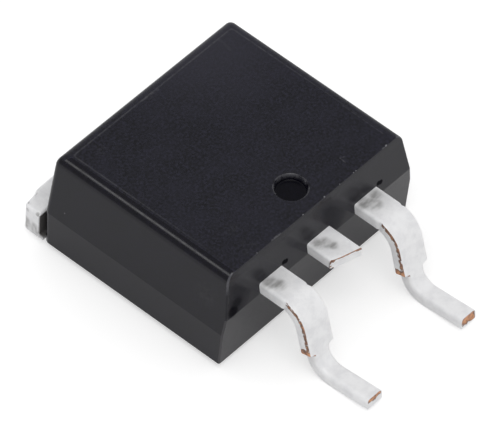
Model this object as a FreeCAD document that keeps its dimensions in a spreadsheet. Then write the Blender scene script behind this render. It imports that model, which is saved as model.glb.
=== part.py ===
import FreeCAD, Part
import math
import os

import Sketcher

# Surface-mount power diode: a black moulded body over a copper heat sink, a
# tab at the rear, two gull-wing leads at the front and a cropped centre lead.
# Millimetres. +Z is up, the leads point to -Y, the tab to +Y, and X = 0 is
# the plane of symmetry. Z = 0 is the seating plane, which the lead heels
# touch, and the origin is at the middle of the outline seen from above.

SIZES = {
    # moulded body
    "body_length": 8.52,            # rear face to the front parting line
    "body_width": 10.14,            # across the side parting lines
    "side_top_setback": 0.45,       # draft of the sides above the parting line
    "side_base_setback": 0.02,      # and below it
    "body_height": 4.30,            # above its own underside
    "side_parting": 1.66,           # height of the parting line on the sides
    "front_top_setback": 0.30,      # draft of the front above the leads
    "front_base_setback": 0.13,     # draft of the front below the leads
    "rear_top_setback": 0.04,
    "top_rounding": 0.50,           # top edges at the sides and the rear
    "rear_corner_rounding": 0.52,   # upright rear corners above the parting line
    "base_corner_rounding": 0.30,   # upright rear corners below the parting line
    "dimple_rim": 1.30,
    "dimple_floor": 1.10,
    "dimple_depth": 0.25,
    "dimple_inset": 1.45,           # dimple centre behind the front parting line
    # height of the underside over the board
    "standoff": 0.25,
    # leads
    "lead_pitch": 2.54,
    "lead_level": 2.38,             # lead underside above the body's underside
    "lead_thickness": 0.46,
    "lead_wide": 1.24,
    "lead_narrow": 0.78,
    "lead_flat": 0.957,             # level run outside the body
    "lead_span": 4.967,             # front parting line to the tip
    "shoulder_radius": 1.23,        # upper face of the upper bend
    "heel_radius": 0.61,            # upper face of the lower bend
    "leg_lean": 16.5,               # degrees from upright
    "foot_pitch": 5,                # degrees, toe up
    "step_height": 1.06,            # where the wide part ends, above the board
    "nick_reach": 1.13,             # nick in the lead's sides, from the parting line
    "nick_length": 0.12,
    "nick_depth": 0.05,
    "foot_edge_rounding": 0.09,     # rolled upper edge left by the punch
    # bond posts inside
    "post_width": 2.20,
    "post_taper_start": 0.20,
    "post_taper_end": 0.62,
    "post_reach": 1.66,             # front parting line to the post's inner end
    # cropped centre lead
    "stub_reach_left": 1.09,
    "stub_reach_right": 1.42,
    "ramp_angle": 65,               # slope down to the heat sink, in degrees
    # heat sink and tab
    "tab_thickness": 1.27,
    "ear_overhang": 0.01,          # how far each ear stands out past the body
    "tab_overhang": 1.14,
    "ear_length": 0.97,
    "ear_clip_width": 0.80,
    "ear_clip_depth": 0.16,
    "ear_side_clip": 0.12,
    "side_wall": 0.77,              # moulding beside the heat sink
    "slab_length": 7.08,            # inside the body
    "notch_floor": 0.25,
    "lock_reach": 0.30,             # ledge at each side that the mould grips
    "pad_length": 7.70,             # bare copper, from the tab's rear edge
    "lock_step": 0.40,              # height of the ledge
    "tab_edge_rounding": 0.08,
    # chips, solder and bond wires
    "die_side": 2.30,
    "die_thickness": 0.30,
    "die_offset": 1.95,             # chip centre from the plane of symmetry
    "die_inset": 3.66,              # chip centre behind the front parting line
    "solder_thickness": 0.05,
    "solder_margin": 0.10,
    "wire_diameter": 0.38,
    "wire_offset": 2.25,
    "wire_foot": 0.75,
    "wire_loop_height": 0.62,       # loop centre line above the post
    "wire_rise_share": 0.567,       # of the span between the feet, where the loop levels
    "wire_fall_share": 0.20,
    "wire_bend_radius": 0.45,
}

doc = FreeCAD.newDocument("surface_mount_diode")
sheet = doc.addObject("Spreadsheet::Sheet", "dims")
for row, (alias, size) in enumerate(SIZES.items(), start=1):
    sheet.set(f"A{row}", alias)
    sheet.set(f"B{row}", str(size))
    sheet.setAlias(f"B{row}", alias)
doc.recompute()

# Heights
PAD_Z = "dims.standoff"
TOP_Z = "(dims.standoff + dims.body_height)"
SIDE_PARTING_Z = "(dims.standoff + dims.side_parting)"
LEAD_BOTTOM_Z = "(dims.standoff + dims.lead_level)"
LEAD_TOP_Z = "(dims.standoff + dims.lead_level + dims.lead_thickness)"
SLAB_TOP_Z = "(dims.standoff + dims.tab_thickness)"
DIE_BOTTOM_Z = f"({SLAB_TOP_Z} + dims.solder_thickness)"
DIE_TOP_Z = f"({DIE_BOTTOM_Z} + dims.die_thickness)"

# Half widths of the heat sink
TAB_SIDE_X = "(dims.body_width / 2 + dims.ear_overhang)"
SLAB_SIDE_X = "(dims.body_width / 2 - dims.side_wall)"
PAD_SIDE_X = f"({SLAB_SIDE_X} - dims.lock_reach)"

# Stations along the part, from the rear edge of the tab to the lead tips
TAB_REAR_Y = "((dims.tab_overhang + dims.body_length + dims.lead_span) / 2)"
REAR_Y = f"({TAB_REAR_Y} - dims.tab_overhang)"
EAR_FRONT_Y = f"({TAB_REAR_Y} - dims.ear_length)"
PAD_FRONT_Y = f"({TAB_REAR_Y} - dims.pad_length)"
SLAB_FRONT_Y = f"({REAR_Y} - dims.slab_length)"
FRONT_Y = f"({REAR_Y} - dims.body_length)"
SHOULDER_Y = f"({FRONT_Y} - dims.lead_flat)"
TIP_Y = f"({FRONT_Y} - dims.lead_span)"
DIE_Y = f"({FRONT_Y} + dims.die_inset)"
POST_END_Y = f"({FRONT_Y} + dims.post_reach)"

WIRE_FACETS = 8         # sides of the wire's section, two of them flat on their seats
MARGIN = 1.0            # how far a cutting outline reaches past the solid
TOUCH = 0.001           # tolerance for finding an edge by its place


def value(expression):
    """Number that an expression on the sheet gives."""
    return float(sheet.evalExpression(expression))


def new_sketch(body, name, plane, offset="0"):
    """Sketch on one of the body's origin planes, moved along the plane's normal."""
    planes = {item.Role: item for item in body.Origin.OriginFeatures}
    sketch = body.newObject("Sketcher::SketchObject", name)
    sketch.AttachmentSupport = [(planes[plane], "")]
    sketch.MapMode = "FlatFace"
    sketch.setExpression(".AttachmentOffset.Base.z", offset)
    return sketch


def bind(sketch, kind, places, expression):
    """Dimension of a sketch, driven by an expression on the sheet."""
    index = sketch.addConstraint(Sketcher.Constraint(kind, *places, value(expression)))
    sketch.setExpression(f"Constraints[{index}]", expression)


def rounded_corner(before, corner, after, radius):
    """Start, end and centre of the arc that rounds a corner."""
    to_before = (before - corner).normalize()
    to_after = (after - corner).normalize()
    half = to_before.getAngle(to_after) / 2
    reach = radius / math.tan(half)
    middle = (to_before + to_after).normalize()
    centre = corner + middle * (radius / math.sin(half))
    return corner + to_before * reach, corner + to_after * reach, centre


def outline(sketch, corners, closed=True):
    """Lines through the corners. A corner is (x, y) or (x, y, radius of its arc)."""
    count = len(corners)
    points = [FreeCAD.Vector(value(c[0]), value(c[1]), 0) for c in corners]
    starts = list(points)
    ends = list(points)
    arcs = {}
    for i, corner in enumerate(corners):
        if len(corner) == 3:
            after = points[(i + 1) % count]
            starts[i], ends[i], centre = rounded_corner(points[i - 1], points[i], after, value(corner[2]))
            turns_left = (points[i] - points[i - 1]).cross(after - points[i]).z > 0
            first, last = (starts[i], ends[i]) if turns_left else (ends[i], starts[i])
            first_angle = math.atan2(first.y - centre.y, first.x - centre.x)
            last_angle = math.atan2(last.y - centre.y, last.x - centre.x)
            circle = Part.Circle(centre, FreeCAD.Vector(0, 0, 1), value(corner[2]))
            arc = sketch.addGeometry(Part.ArcOfCircle(circle, first_angle, last_angle))
            arcs[i] = (arc, 1, 2) if turns_left else (arc, 2, 1)
    runs = count if closed else count - 1
    lines = [
        sketch.addGeometry(Part.LineSegment(ends[i], starts[(i + 1) % count]))
        for i in range(runs)
    ]
    for i, corner in enumerate(corners):
        has_before = closed or i > 0
        has_after = closed or i < count - 1
        if i in arcs:
            arc, arc_start, arc_end = arcs[i]
            sketch.addConstraint(Sketcher.Constraint("Tangent", lines[i - 1], 2, arc, arc_start))
            sketch.addConstraint(Sketcher.Constraint("Tangent", arc, arc_end, lines[i], 1))
            bind(sketch, "Radius", (arc,), corner[2])
            mark = sketch.addGeometry(Part.Point(points[i]), True)
            sketch.addConstraint(Sketcher.Constraint("PointOnObject", mark, 1, lines[i - 1]))
            sketch.addConstraint(Sketcher.Constraint("PointOnObject", mark, 1, lines[i]))
            place = (mark, 1)
        elif has_before and has_after:
            sketch.addConstraint(Sketcher.Constraint("Coincident", lines[i - 1], 2, lines[i], 1))
            place = (lines[i], 1)
        elif has_after:
            place = (lines[i], 1)
        else:
            place = (lines[i - 1], 2)
        bind(sketch, "DistanceX", (-1, 1, *place), corner[0])
        bind(sketch, "DistanceY", (-1, 1, *place), corner[1])


def pad(body, name, sketch, length, symmetric=False):
    feature = body.newObject("PartDesign::Pad", name)
    feature.Profile = sketch
    feature.setExpression("Length", length)
    if symmetric:
        feature.SideType = "Symmetric"
    sketch.Visibility = False
    doc.recompute()
    return feature


def check_removed(name, volume_before, shape):
    """A cut that points away from the solid removes nothing: stop there."""
    if shape.Volume > volume_before - 1e-6:
        raise RuntimeError(f"{name} removed nothing")


def pocket(body, name, sketch, length=None, upward=False):
    """Pocket of a given length, or through everything on both sides."""
    volume_before = body.Shape.Volume
    feature = body.newObject("PartDesign::Pocket", name)
    feature.Profile = sketch
    if length is None:
        feature.Type = "ThroughAll"
        feature.SideType = "Symmetric"
    else:
        feature.setExpression("Length", length)
        feature.Reversed = upward
    sketch.Visibility = False
    doc.recompute()
    check_removed(name, volume_before, body.Shape)
    return feature


def find_edges(shape, belongs):
    """Names of the edges whose bounding box passes a test."""
    return [
        f"Edge{number}" for number, edge in enumerate(shape.Edges, start=1)
        if belongs(edge.BoundBox)
    ]


def fillet(body, name, radius, belongs):
    base = body.Tip
    names = find_edges(base.Shape, belongs)
    feature = body.newObject("PartDesign::Fillet", name)
    feature.Base = (base, names)
    feature.Refine = False
    feature.setExpression("Radius", radius)
    doc.recompute()
    return feature


def make_mould_shell():
    """Outside of the moulding: an upper and a lower half with drafted sides."""
    body = doc.addObject("PartDesign::Body", "mould_shell")
    upper = new_sketch(body, "mould_upper_section", "XZ_Plane", f"-{REAR_Y}")
    outline(upper, [
        ("dims.body_width / 2", SIDE_PARTING_Z),
        ("dims.body_width / 2 - dims.side_top_setback", TOP_Z),
        ("dims.side_top_setback - dims.body_width / 2", TOP_Z),
        ("-dims.body_width / 2", SIDE_PARTING_Z),
    ])
    pad(body, "mould_upper_half", upper, f"dims.body_length + {MARGIN}")

    # The front slopes back from the level of the leads, the rear from the side parting.
    upper_drafts = new_sketch(body, "mould_upper_drafts", "YZ_Plane")
    front_slope = "dims.front_top_setback / (dims.body_height - dims.lead_level)"
    front_foot_y = f"({FRONT_Y} - (dims.lead_level - dims.side_parting) * {front_slope})"
    outline(upper_drafts, [
        (front_foot_y, SIDE_PARTING_Z),
        (f"{FRONT_Y} + dims.front_top_setback", TOP_Z),
        (f"{FRONT_Y} - 2 * {MARGIN}", TOP_Z),
        (f"{FRONT_Y} - 2 * {MARGIN}", SIDE_PARTING_Z),
    ])
    outline(upper_drafts, [
        (REAR_Y, SIDE_PARTING_Z),
        (f"{REAR_Y} + {MARGIN}", TOP_Z),
        (f"{REAR_Y} - dims.rear_top_setback", TOP_Z),
    ])
    pocket(body, "mould_upper_slopes", upper_drafts)

    top = value(TOP_Z)
    front = value(f"{FRONT_Y} + dims.front_top_setback")

    fillet(body, "mould_rear_corners", "dims.rear_corner_rounding",
           lambda box: box.ZLength > TOUCH and box.YMin > 0)
    fillet(body, "mould_top_rounding", "dims.top_rounding",
           lambda box: box.ZMin > top - TOUCH and box.YMax > front + TOUCH)

    lower = new_sketch(body, "mould_lower_section", "XZ_Plane", f"-{REAR_Y}")
    outline(lower, [
        ("dims.side_base_setback - dims.body_width / 2", PAD_Z),
        ("dims.body_width / 2 - dims.side_base_setback", PAD_Z),
        ("dims.body_width / 2", SIDE_PARTING_Z),
        ("-dims.body_width / 2", SIDE_PARTING_Z),
    ])
    pad(body, "mould_lower_half", lower, "dims.body_length")
    lower_drafts = new_sketch(body, "mould_lower_drafts", "YZ_Plane")
    outline(lower_drafts, [
        (FRONT_Y, LEAD_BOTTOM_Z),
        (f"{FRONT_Y} - {MARGIN}", LEAD_BOTTOM_Z),
        (f"{FRONT_Y} - {MARGIN}", PAD_Z),
        (f"{FRONT_Y} + dims.front_base_setback", PAD_Z),
    ])
    pocket(body, "mould_lower_slope", lower_drafts)
    parting = value(SIDE_PARTING_Z)
    fillet(body, "mould_lower_rounding", "dims.base_corner_rounding",
           lambda box: box.ZLength > value("dims.side_parting") - TOUCH and box.ZMax < parting + TOUCH)

    volume_before = body.Shape.Volume
    dimple = body.newObject("PartDesign::SubtractiveCone", "dimple")
    dimple.setExpression("Radius1", "dims.dimple_floor / 2")
    dimple.setExpression("Radius2", "dims.dimple_rim / 2")
    dimple.setExpression("Height", "dims.dimple_depth")
    dimple.setExpression(".Placement.Base.y", f"{FRONT_Y} + dims.dimple_inset")
    dimple.setExpression(".Placement.Base.z", f"{TOP_Z} - dims.dimple_depth")
    doc.recompute()
    check_removed("dimple", volume_before, body.Shape)
    return body


def along_bisector(radius):
    """Sharp corner that the heel bend of this radius rounds off."""
    half_turn = "((90 - dims.leg_lean + dims.foot_pitch) / 2)"
    bisector = "((90 + dims.leg_lean + dims.foot_pitch) / 2)"
    outer = "(dims.heel_radius + dims.lead_thickness)"
    drop = f"({LEAD_TOP_Z} - dims.shoulder_radius - {outer})"
    slide = f"((dims.shoulder_radius + dims.heel_radius + {drop} * sin(dims.leg_lean)) / cos(dims.leg_lean))"
    y = f"({SHOULDER_Y} - {slide} + {radius} * cos({bisector}) / cos({half_turn}))"
    z = f"({outer} - {radius} * sin({bisector}) / cos({half_turn}))"
    return y, z


def make_lead(name, side):
    """Gull-wing lead: a strip bent twice, narrow at its foot, wide at its bond post."""
    body = doc.addObject("PartDesign::Body", name)
    centre_x = f"({side} * dims.lead_pitch)"
    half_turn = "((90 - dims.leg_lean) / 2)"
    inner_shoulder = "(dims.shoulder_radius - dims.lead_thickness)"
    outer_heel = "(dims.heel_radius + dims.lead_thickness)"
    upper_heel_y, upper_heel_z = along_bisector("dims.heel_radius")
    lower_heel_y, lower_heel_z = along_bisector(outer_heel)
    tip_z = f"({lower_heel_z} + ({lower_heel_y} - {TIP_Y}) * tan(dims.foot_pitch))"

    side_view = new_sketch(body, f"{name}_side_view", "YZ_Plane", centre_x)
    outline(side_view, [
        (POST_END_Y, LEAD_TOP_Z),
        (f"{SHOULDER_Y} - dims.shoulder_radius * tan({half_turn})", LEAD_TOP_Z, "dims.shoulder_radius"),
        (upper_heel_y, upper_heel_z, "dims.heel_radius"),
        (f"{TIP_Y} + dims.lead_thickness * sin(dims.foot_pitch)",
         f"{tip_z} + dims.lead_thickness * cos(dims.foot_pitch)"),
        (TIP_Y, tip_z),
        (lower_heel_y, lower_heel_z, outer_heel),
        (f"{SHOULDER_Y} - {inner_shoulder} * tan({half_turn})", LEAD_BOTTOM_Z, inner_shoulder),
        (POST_END_Y, LEAD_BOTTOM_Z),
    ])
    pad(body, f"{name}_strip", side_view, "dims.lead_wide", symmetric=True)

    def across(half_width, inward):
        return f"{centre_x} + {inward} * {half_width}"

    front_view = new_sketch(body, f"{name}_foot_width", "XZ_Plane")
    for inward in (-1, 1):
        narrow = across("dims.lead_narrow / 2", inward)
        wide = across(f"(dims.lead_wide / 2 + {MARGIN})", inward)
        outline(front_view, [
            (narrow, f"-{MARGIN}"),
            (wide, f"-{MARGIN}"),
            (wide, "dims.step_height"),
            (narrow, "dims.step_height"),
        ])
    pocket(body, f"{name}_narrow_foot", front_view)

    nick_y = f"({FRONT_Y} - dims.nick_reach)"
    plan = new_sketch(body, f"{name}_nick_plan", "XY_Plane")
    for inward in (-1, 1):
        edge = across("dims.lead_wide / 2", inward)
        bottom = across("(dims.lead_wide / 2 - dims.nick_depth)", inward)
        outline(plan, [
            (edge, f"{nick_y} - dims.nick_length / 2"),
            (bottom, nick_y),
            (edge, f"{nick_y} + dims.nick_length / 2"),
        ])
    pocket(body, f"{name}_nicks", plan)

    post = new_sketch(body, f"{name}_post_plan", "XY_Plane", LEAD_BOTTOM_Z)
    outline(post, [
        (across("dims.lead_wide / 2", -1), f"{FRONT_Y} + dims.post_taper_start"),
        (across("dims.lead_wide / 2", 1), f"{FRONT_Y} + dims.post_taper_start"),
        (across("dims.post_width / 2", 1), f"{FRONT_Y} + dims.post_taper_end"),
        (across("dims.post_width / 2", 1), POST_END_Y),
        (across("dims.post_width / 2", -1), POST_END_Y),
        (across("dims.post_width / 2", -1), f"{FRONT_Y} + dims.post_taper_end"),
    ])
    pad(body, f"{name}_post", post, "dims.lead_thickness")

    # The punch rolls the upper edges of the foot, and the rounding runs on round the heel.
    heel_y = value(upper_heel_y)
    fillet(body, f"{name}_rolled_edges", "dims.foot_edge_rounding",
           lambda box: box.XLength < TOUCH and box.YLength > 0.5
           and box.YMax < heel_y and box.ZMin > value("dims.lead_thickness") - TOUCH)
    return body


def make_heat_sink():
    """Heat sink, tab and centre lead: one stamping of two thicknesses."""
    body = doc.addObject("PartDesign::Body", "heat_sink_tab")
    plan = new_sketch(body, "heat_sink_plan", "XY_Plane", PAD_Z)
    right_side = [
        (SLAB_SIDE_X, SLAB_FRONT_Y),
        (SLAB_SIDE_X, EAR_FRONT_Y),
        (TAB_SIDE_X, EAR_FRONT_Y),
        (TAB_SIDE_X, f"{TAB_REAR_Y} - dims.ear_clip_depth - dims.ear_side_clip"),
        (f"{TAB_SIDE_X} - dims.ear_side_clip", f"{TAB_REAR_Y} - dims.ear_clip_depth"),
        (f"{TAB_SIDE_X} - dims.ear_clip_width", TAB_REAR_Y),
    ]
    left_side = [(f"-({x})", y) for x, y in reversed(right_side)]
    outline(plan, right_side + left_side)
    pad(body, "heat_sink_slab", plan, "dims.tab_thickness")

    floor = new_sketch(body, "ear_notch_floor_plan", "XY_Plane", PAD_Z)
    for side in (-1, 1):
        outline(floor, [
            (f"{side} * {SLAB_SIDE_X}", REAR_Y),
            (f"{side} * {TAB_SIDE_X}", REAR_Y),
            (f"{side} * {TAB_SIDE_X}", EAR_FRONT_Y),
            (f"{side} * {SLAB_SIDE_X}", EAR_FRONT_Y),
        ])
    pad(body, "ear_notch_floor", floor, "dims.notch_floor")

    ledge = new_sketch(body, "lock_ledge_plan", "XY_Plane", PAD_Z)
    outline(ledge, [
        (f"-{SLAB_SIDE_X}", REAR_Y),
        (f"-{PAD_SIDE_X}", REAR_Y),
        (f"-{PAD_SIDE_X}", PAD_FRONT_Y),
        (PAD_SIDE_X, PAD_FRONT_Y),
        (PAD_SIDE_X, REAR_Y),
        (SLAB_SIDE_X, REAR_Y),
        (SLAB_SIDE_X, SLAB_FRONT_Y),
        (f"-{SLAB_SIDE_X}", SLAB_FRONT_Y),
    ])
    pocket(body, "lock_ledge", ledge, "dims.lock_step", upward=True)

    mitre = "dims.lead_thickness * tan(dims.ramp_angle / 2)"
    ramp_top_y = f"({SLAB_FRONT_Y} - ({LEAD_TOP_Z} - {SLAB_TOP_Z}) / tan(dims.ramp_angle))"
    stub_end_y = f"({FRONT_Y} - dims.stub_reach_right)"
    side_view = new_sketch(body, "centre_lead_side_view", "YZ_Plane")
    outline(side_view, [
        (stub_end_y, LEAD_TOP_Z),
        (stub_end_y, LEAD_BOTTOM_Z),
        (f"{ramp_top_y} - {mitre}", LEAD_BOTTOM_Z),
        (f"{SLAB_FRONT_Y} - {mitre}", f"{SLAB_TOP_Z} - dims.lead_thickness"),
        (f"{SLAB_FRONT_Y} + dims.lead_thickness", f"{SLAB_TOP_Z} - dims.lead_thickness"),
        (f"{SLAB_FRONT_Y} + dims.lead_thickness", SLAB_TOP_Z),
        (SLAB_FRONT_Y, SLAB_TOP_Z),
        (ramp_top_y, LEAD_TOP_Z),
    ])
    pad(body, "centre_lead", side_view, "dims.lead_wide", symmetric=True)

    crop = new_sketch(body, "centre_lead_crop_plan", "XY_Plane", LEAD_TOP_Z)
    outline(crop, [
        ("-dims.lead_wide / 2", f"{FRONT_Y} - dims.stub_reach_left"),
        ("-dims.lead_wide / 2", stub_end_y),
        ("dims.lead_wide / 2", stub_end_y),
    ])
    pocket(body, "centre_lead_crop", crop, "dims.lead_thickness")

    rear = value(EAR_FRONT_Y)
    top = value(SLAB_TOP_Z)
    fillet(body, "tab_rounding", "dims.tab_edge_rounding",
           lambda box: box.ZMin > top - TOUCH and box.ZMax < top + TOUCH and box.YMin > rear + TOUCH)
    return body


def make_box(name, centre_x, centre_y, bottom_z, width, height):
    box = doc.addObject("Part::Box", name)
    box.setExpression("Length", width)
    box.setExpression("Width", width)
    box.setExpression("Height", height)
    box.setExpression(".Placement.Base.x", f"{centre_x} - {width} / 2")
    box.setExpression(".Placement.Base.y", f"{centre_y} - {width} / 2")
    box.setExpression(".Placement.Base.z", bottom_z)
    return box


def make_wire(name, side):
    """Bond wire from the chip to the post. A flat side of its section seats on each."""
    body = doc.addObject("PartDesign::Body", name)
    centre_x = f"({side} * dims.wire_offset)"
    start_y = f"({DIE_Y} + dims.die_side / 4)"
    die_bend_y = f"({start_y} - dims.wire_foot)"
    end_y = f"({FRONT_Y} + dims.post_taper_end)"
    post_bend_y = f"({end_y} + dims.wire_foot)"
    low_z = f"({DIE_TOP_Z} + dims.wire_diameter / 2)"
    post_z = f"({LEAD_TOP_Z} + dims.wire_diameter / 2)"
    loop_z = f"({LEAD_TOP_Z} + dims.wire_loop_height)"
    span = f"({die_bend_y} - {post_bend_y})"
    route = new_sketch(body, f"{name}_route", "YZ_Plane", centre_x)
    outline(route, [
        (start_y, low_z),
        (die_bend_y, low_z, "dims.wire_bend_radius"),
        (f"{die_bend_y} - dims.wire_rise_share * {span}", loop_z, "dims.wire_bend_radius"),
        (f"{post_bend_y} + dims.wire_fall_share * {span}", loop_z, "dims.wire_bend_radius"),
        (post_bend_y, post_z, "dims.wire_bend_radius"),
        (end_y, post_z),
    ], closed=False)
    section = new_sketch(body, f"{name}_section", "XZ_Plane", f"-{start_y}")
    half_side = 180 / WIRE_FACETS
    corner_radius = f"(dims.wire_diameter / 2 / cos({half_side}))"
    turns = [half_side * (2 * i + 1) for i in range(WIRE_FACETS)]
    outline(section, [
        (f"{centre_x} + {corner_radius} * sin({turn})", f"{low_z} - {corner_radius} * cos({turn})")
        for turn in turns
    ])
    doc.recompute()
    sweep = body.newObject("PartDesign::AdditivePipe", f"{name}_sweep")
    sweep.Profile = section
    sweep.Spine = (route, [])
    doc.recompute()
    return body


def make_diode(side, word):
    """One of the two diodes: solder, chip, lead and bond wire."""
    centre_x = f"({side} * dims.die_offset)"
    solder_width = "(dims.die_side + 2 * dims.solder_margin)"
    solder = make_box(f"die_solder_{word}", centre_x, DIE_Y, SLAB_TOP_Z,
                      solder_width, "dims.solder_thickness")
    die = make_box(f"diode_die_{word}", centre_x, DIE_Y, DIE_BOTTOM_Z,
                   "dims.die_side", "dims.die_thickness")
    lead = make_lead(f"anode_lead_{word}", side)
    wire = make_wire(f"bond_wire_{word}", side)
    return [solder, die, lead, wire]


def make_mould(shell, held):
    """The moulding fills all the room around what it holds."""
    core = doc.addObject("Part::MultiFuse", "moulded_in")
    core.Shapes = held
    mould = doc.addObject("Part::Cut", "mould_body")
    mould.Base = shell
    mould.Tool = core
    return mould


def check_document():
    for item in doc.Objects:
        if "Invalid" in item.State or "Error" in item.State:
            raise RuntimeError(f"{item.Name} failed: {item.State}")


def write(parts):
    for part in parts:
        shape = part.Shape
        if shape.isNull() or not shape.isValid() or len(shape.Solids) != 1:
            raise RuntimeError(f"{part.Label} is not one valid solid")
    os.makedirs("parts", exist_ok=True)
    for part in parts:
        part.Shape.exportStep(f"parts/{part.Label}.step")
        print(f"{part.Label}: {part.Shape.Volume:.4f} mm3")


mould_shell = make_mould_shell()
held_pieces = [make_heat_sink()]
for side_sign, side_word in ((-1, "left"), (1, "right")):
    held_pieces += make_diode(side_sign, side_word)
mould_piece = make_mould(mould_shell, held_pieces)
doc.recompute()
check_document()
write([mould_piece] + held_pieces)
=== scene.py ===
import math

import bmesh
import bpy
from mathutils import Matrix, Vector, noise


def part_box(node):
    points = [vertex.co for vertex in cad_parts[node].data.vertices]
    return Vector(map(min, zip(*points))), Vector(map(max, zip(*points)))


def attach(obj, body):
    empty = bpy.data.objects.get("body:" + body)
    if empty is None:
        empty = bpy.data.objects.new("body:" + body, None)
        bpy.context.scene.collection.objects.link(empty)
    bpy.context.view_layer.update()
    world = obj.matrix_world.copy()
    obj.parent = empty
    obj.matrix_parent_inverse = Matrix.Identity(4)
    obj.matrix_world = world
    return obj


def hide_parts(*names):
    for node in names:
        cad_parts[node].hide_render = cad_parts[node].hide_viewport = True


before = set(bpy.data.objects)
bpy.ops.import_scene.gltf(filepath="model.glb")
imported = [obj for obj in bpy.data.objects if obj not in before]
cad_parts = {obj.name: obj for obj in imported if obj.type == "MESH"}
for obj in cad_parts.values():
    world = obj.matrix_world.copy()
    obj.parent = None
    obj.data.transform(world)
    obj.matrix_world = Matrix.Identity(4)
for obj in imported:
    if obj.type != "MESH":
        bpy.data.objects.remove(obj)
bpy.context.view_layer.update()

# Lengths in the shape code are millimetres. Each finished mesh is in metres.
MM = 0.001


def box_in_mm(node):
    low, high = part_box(node)
    return Vector(low) / MM, Vector(high) / MM


MOULD_LOW, MOULD_HIGH = box_in_mm("mould_body")
_, SINK_HIGH = box_in_mm("heat_sink_tab")
LEAD_LOW, LEAD_HIGH = box_in_mm("anode_lead_right")

# Moulding
TOP_Z = MOULD_HIGH.z
BASE_Z = MOULD_LOW.z
FRONT_Y = MOULD_LOW.y
REAR_Y = MOULD_HIGH.y
MOULD_HALF_WIDTH = MOULD_HIGH.x
SIDE_PARTING_Z = BASE_Z + 1.66
FRONT_PARTING_Z = BASE_Z + 2.38
SIDE_TOP_SETBACK = 0.45
SIDE_BASE_SETBACK = 0.02
FRONT_TOP_SETBACK = 0.30
FRONT_BASE_SETBACK = 0.13
REAR_TOP_SETBACK = 0.04
TOP_ROUNDING = 0.50
FRONT_EDGE_ROUNDING = 0.03
BASE_EDGE_ROUNDING = 0.05
FRONT_CORNER = 0.07         # radii of the upright corners
REAR_CORNER = 0.24
REAR_CORNER_SHRINK = 0.3    # taken off the rear corners, as a share of the top rounding's inset
TOP_RIM = 0.05              # narrow ring of the top face, beside its rounded edges
DIMPLE_Y = FRONT_Y + 1.45
DIMPLE_RINGS = [    # radius, depth
    (0.670, 0.0), (0.655, 0.004), (0.630, 0.018), (0.612, 0.045), (0.600, 0.085),
    (0.565, 0.205), (0.553, 0.233), (0.530, 0.247), (0.49, 0.250),
]

# Leads
LEAD_THICKNESS = 0.46
LEAD_TOP_Z = LEAD_HIGH.z
LEAD_MIDDLE_Z = LEAD_TOP_Z - LEAD_THICKNESS / 2
LEAD_PITCH = 2.54
LEAD_WIDE = 1.24
LEAD_NARROW = 0.78
LEAD_LEVEL_RUN = 0.957
POST_END_Y = LEAD_HIGH.y
POST_WIDTH = 2.20
POST_TAPER = (0.20, 0.62)
SHOULDER_RADIUS = 1.0       # bends of the middle line
HEEL_RADIUS = 0.84
LEG_LEAN = 16.5
FOOT_PITCH = 5.0
STEP_Z = 1.06
NICK_REACH = 1.13
TIP_Y = LEAD_LOW.y

# Heat sink, tab and centre lead
SLAB_TOP_Z = BASE_Z + 1.27
TAB_REAR_Y = SINK_HIGH.y
TAB_HALF_WIDTH = SINK_HIGH.x
NOTCH_FLOOR_Z = BASE_Z + 0.25
EAR_FRONT_Y = TAB_REAR_Y - 0.97
PAD_FRONT_Y = TAB_REAR_Y - 7.70
SLAB_FRONT_Y = REAR_Y - 7.08
PAD_HALF_WIDTH = 4.0
SLAB_HALF_WIDTH = 4.3
TAB_EDGE_ROUNDING = 0.12
STUB_REACH = (1.09, 1.42)   # left and right end, from the front parting line

# Photograph's width, and the camera fitted to it with the focal length held
PHOTO_WIDTH = 500
FOCAL_PIXELS = 7500.4
CAMERA_AZIMUTH = math.radians(-51.171)
CAMERA_ELEVATION = math.radians(49.023)
CAMERA_ROLL = math.radians(3.607)
CAMERA_DISTANCE = 267.145
CAMERA_TARGET = Vector((0.174, 1.0135, 1.408))

# Room that the part is reflected in
PANEL_DIRECTION = (-0.52, 0.41, 0.75)
PANEL_CONE = (10, 4)        # degrees from its middle, where the panel starts and is full
WALL_TOP = 0.06             # height of a direction where the walls end
WALL_LEVEL = 0.65
FLOOR_HALF_WIDTH = 400


def smooth_step(value, low, high):
    t = min(max((value - low) / (high - low), 0.0), 1.0)
    return t * t * (3 - 2 * t)


def uneven(x, y, z, scale, seed):
    """Smooth noise between about -1 and 1."""
    return noise.noise(Vector((x * scale + seed, y * scale - seed, z * scale)))


# Mesh building

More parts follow.
